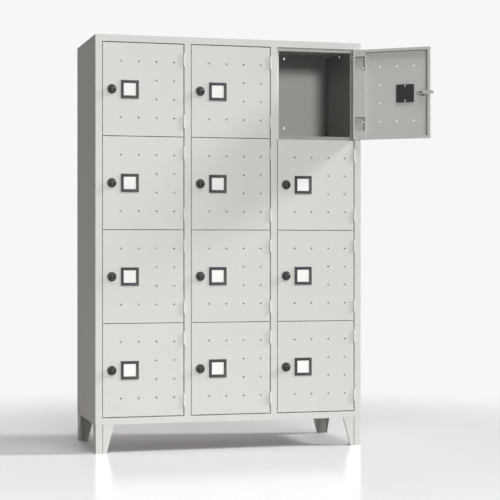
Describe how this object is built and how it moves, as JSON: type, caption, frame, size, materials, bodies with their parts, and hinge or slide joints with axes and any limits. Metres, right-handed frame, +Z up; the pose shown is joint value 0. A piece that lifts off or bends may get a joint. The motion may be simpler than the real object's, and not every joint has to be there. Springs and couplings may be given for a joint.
{
  "type": "steel compartment locker",
  "caption": "Steel locker cabinet on legs with rows of perforated hinged doors, each with a turn-knob cam lock and a square label holder.",
  "frame": {"origin": "centre of the four floor anchor holes, on the floor under the middle of the cabinet's footprint", "axes": "+X to the right seen from the front, doors face -Y, +Z up"},
  "size_m": [1.4512, 0.7478, 1.8],
  "materials": {
    "carcass_paint": "satin light grey powder coat",
    "frame_paint": "satin light grey powder coat",
    "door_paint": "satin light grey powder coat",
    "label_black": "matte moulded black, white card",
    "lock_black": "semi-gloss black, zinc cam"
  },
  "bodies": {
    "carcass": {"side_panel_left": "carcass_paint", "side_panel_right": "carcass_paint", "top_panel": "carcass_paint", "back_panel": "carcass_paint", "base_panel": "carcass_paint", "partition_left": "carcass_paint", "partition_right": "carcass_paint", "shelves": "carcass_paint", "front_frame": "frame_paint", "hinge_knuckles": "frame_paint", "legs": "frame_paint"},
    "door_a1": {"door_leaf_a1": "door_paint", "label_holder_a1": "label_black", "lock_housing_a1": "lock_black"},
    "rotor_a1": {"lock_rotor_a1": "lock_black"},
    "door_a2": {"door_leaf_a2": "door_paint", "label_holder_a2": "label_black", "lock_housing_a2": "lock_black"},
    "rotor_a2": {"lock_rotor_a2": "lock_black"},
    "door_a3": {"door_leaf_a3": "door_paint", "label_holder_a3": "label_black", "lock_housing_a3": "lock_black"},
    "rotor_a3": {"lock_rotor_a3": "lock_black"},
    "door_a4": {"door_leaf_a4": "door_paint", "label_holder_a4": "label_black", "lock_housing_a4": "lock_black"},
    "rotor_a4": {"lock_rotor_a4": "lock_black"},
    "door_b1": {"door_leaf_b1": "door_paint", "label_holder_b1": "label_black", "lock_housing_b1": "lock_black"},
    "rotor_b1": {"lock_rotor_b1": "lock_black"},
    "door_b2": {"door_leaf_b2": "door_paint", "label_holder_b2": "label_black", "lock_housing_b2": "lock_black"},
    "rotor_b2": {"lock_rotor_b2": "lock_black"},
    "door_b3": {"door_leaf_b3": "door_paint", "label_holder_b3": "label_black", "lock_housing_b3": "lock_black"},
    "rotor_b3": {"lock_rotor_b3": "lock_black"},
    "door_b4": {"door_leaf_b4": "door_paint", "label_holder_b4": "label_black", "lock_housing_b4": "lock_black"},
    "rotor_b4": {"lock_rotor_b4": "lock_black"},
    "door_c1": {"door_leaf_c1": "door_paint", "label_holder_c1": "label_black", "lock_housing_c1": "lock_black"},
    "rotor_c1": {"lock_rotor_c1": "lock_black"},
    "door_c2": {"door_leaf_c2": "door_paint", "label_holder_c2": "label_black", "lock_housing_c2": "lock_black"},
    "rotor_c2": {"lock_rotor_c2": "lock_black"},
    "door_c3": {"door_leaf_c3": "door_paint", "label_holder_c3": "label_black", "lock_housing_c3": "lock_black"},
    "rotor_c3": {"lock_rotor_c3": "lock_black"},
    "door_c4": {"door_leaf_c4": "door_paint", "label_holder_c4": "label_black", "lock_housing_c4": "lock_black"},
    "rotor_c4": {"lock_rotor_c4": "lock_black"}
  },
  "joints": [
    {"name": "door_a1_hinge", "type": "hinge", "parent": "carcass", "child": "door_a1", "pos_m": [-0.212, -0.251, 1.566], "axis": [0, 0, 1], "range_deg": [0, 145]},
    {"name": "lock_a1_turn", "type": "hinge", "parent": "door_a1", "child": "rotor_a1", "pos_m": [-0.529, -0.25, 1.566], "axis": [0, 1, 0], "range_deg": [0, 90]},
    {"name": "door_a2_hinge", "type": "hinge", "parent": "carcass", "child": "door_a2", "pos_m": [-0.212, -0.251, 1.163], "axis": [0, 0, 1], "range_deg": [0, 145]},
    {"name": "lock_a2_turn", "type": "hinge", "parent": "door_a2", "child": "rotor_a2", "pos_m": [-0.529, -0.25, 1.163], "axis": [0, 1, 0], "range_deg": [0, 90]},
    {"name": "door_a3_hinge", "type": "hinge", "parent": "carcass", "child": "door_a3", "pos_m": [-0.212, -0.251, 0.76], "axis": [0, 0, 1], "range_deg": [0, 145]},
    {"name": "lock_a3_turn", "type": "hinge", "parent": "door_a3", "child": "rotor_a3", "pos_m": [-0.529, -0.25, 0.76], "axis": [0, 1, 0], "range_deg": [0, 90]},
    {"name": "door_a4_hinge", "type": "hinge", "parent": "carcass", "child": "door_a4", "pos_m": [-0.212, -0.251, 0.357], "axis": [0, 0, 1], "range_deg": [0, 145]},
    {"name": "lock_a4_turn", "type": "hinge", "parent": "door_a4", "child": "rotor_a4", "pos_m": [-0.529, -0.25, 0.357], "axis": [0, 1, 0], "range_deg": [0, 90]},
    {"name": "door_b1_hinge", "type": "hinge", "parent": "carcass", "child": "door_b1", "pos_m": [0.178, -0.251, 1.566], "axis": [0, 0, 1], "range_deg": [0, 145]},
    {"name": "lock_b1_turn", "type": "hinge", "parent": "door_b1", "child": "rotor_b1", "pos_m": [-0.139, -0.25, 1.566], "axis": [0, 1, 0], "range_deg": [0, 90]},
    {"name": "door_b2_hinge", "type": "hinge", "parent": "carcass", "child": "door_b2", "pos_m": [0.178, -0.251, 1.163], "axis": [0, 0, 1], "range_deg": [0, 145]},
    {"name": "lock_b2_turn", "type": "hinge", "parent": "door_b2", "child": "rotor_b2", "pos_m": [-0.139, -0.25, 1.163], "axis": [0, 1, 0], "range_deg": [0, 90]},
    {"name": "door_b3_hinge", "type": "hinge", "parent": "carcass", "child": "door_b3", "pos_m": [0.178, -0.251, 0.76], "axis": [0, 0, 1], "range_deg": [0, 145]},
    {"name": "lock_b3_turn", "type": "hinge", "parent": "door_b3", "child": "rotor_b3", "pos_m": [-0.139, -0.25, 0.76], "axis": [0, 1, 0], "range_deg": [0, 90]},
    {"name": "door_b4_hinge", "type": "hinge", "parent": "carcass", "child": "door_b4", "pos_m": [0.178, -0.251, 0.357], "axis": [0, 0, 1], "range_deg": [0, 145]},
    {"name": "lock_b4_turn", "type": "hinge", "parent": "door_b4", "child": "rotor_b4", "pos_m": [-0.139, -0.25, 0.357], "axis": [0, 1, 0], "range_deg": [0, 90]},
    {"name": "door_c1_hinge", "type": "hinge", "parent": "carcass", "child": "door_c1", "pos_m": [0.568, -0.251, 1.566], "axis": [0, 0, 1], "range_deg": [-143, 0]},
    {"name": "lock_c1_turn", "type": "hinge", "parent": "door_c1", "child": "rotor_c1", "pos_m": [0.82057, -0.44257, 1.566], "axis": [-0.6018, -0.7986, 0], "range_deg": [-90, 0]},
    {"name": "door_c2_hinge", "type": "hinge", "parent": "carcass", "child": "door_c2", "pos_m": [0.568, -0.251, 1.163], "axis": [0, 0, 1], "range_deg": [0, 145]},
    {"name": "lock_c2_turn", "type": "hinge", "parent": "door_c2", "child": "rotor_c2", "pos_m": [0.251, -0.25, 1.163], "axis": [0, 1, 0], "range_deg": [0, 90]},
    {"name": "door_c3_hinge", "type": "hinge", "parent": "carcass", "child": "door_c3", "pos_m": [0.568, -0.251, 0.76], "axis": [0, 0, 1], "range_deg": [0, 145]},
    {"name": "lock_c3_turn", "type": "hinge", "parent": "door_c3", "child": "rotor_c3", "pos_m": [0.251, -0.25, 0.76], "axis": [0, 1, 0], "range_deg": [0, 90]},
    {"name": "door_c4_hinge", "type": "hinge", "parent": "carcass", "child": "door_c4", "pos_m": [0.568, -0.251, 0.357], "axis": [0, 0, 1], "range_deg": [0, 145]},
    {"name": "lock_c4_turn", "type": "hinge", "parent": "door_c4", "child": "rotor_c4", "pos_m": [0.251, -0.25, 0.357], "axis": [0, 1, 0], "range_deg": [0, 90]}
  ]
}
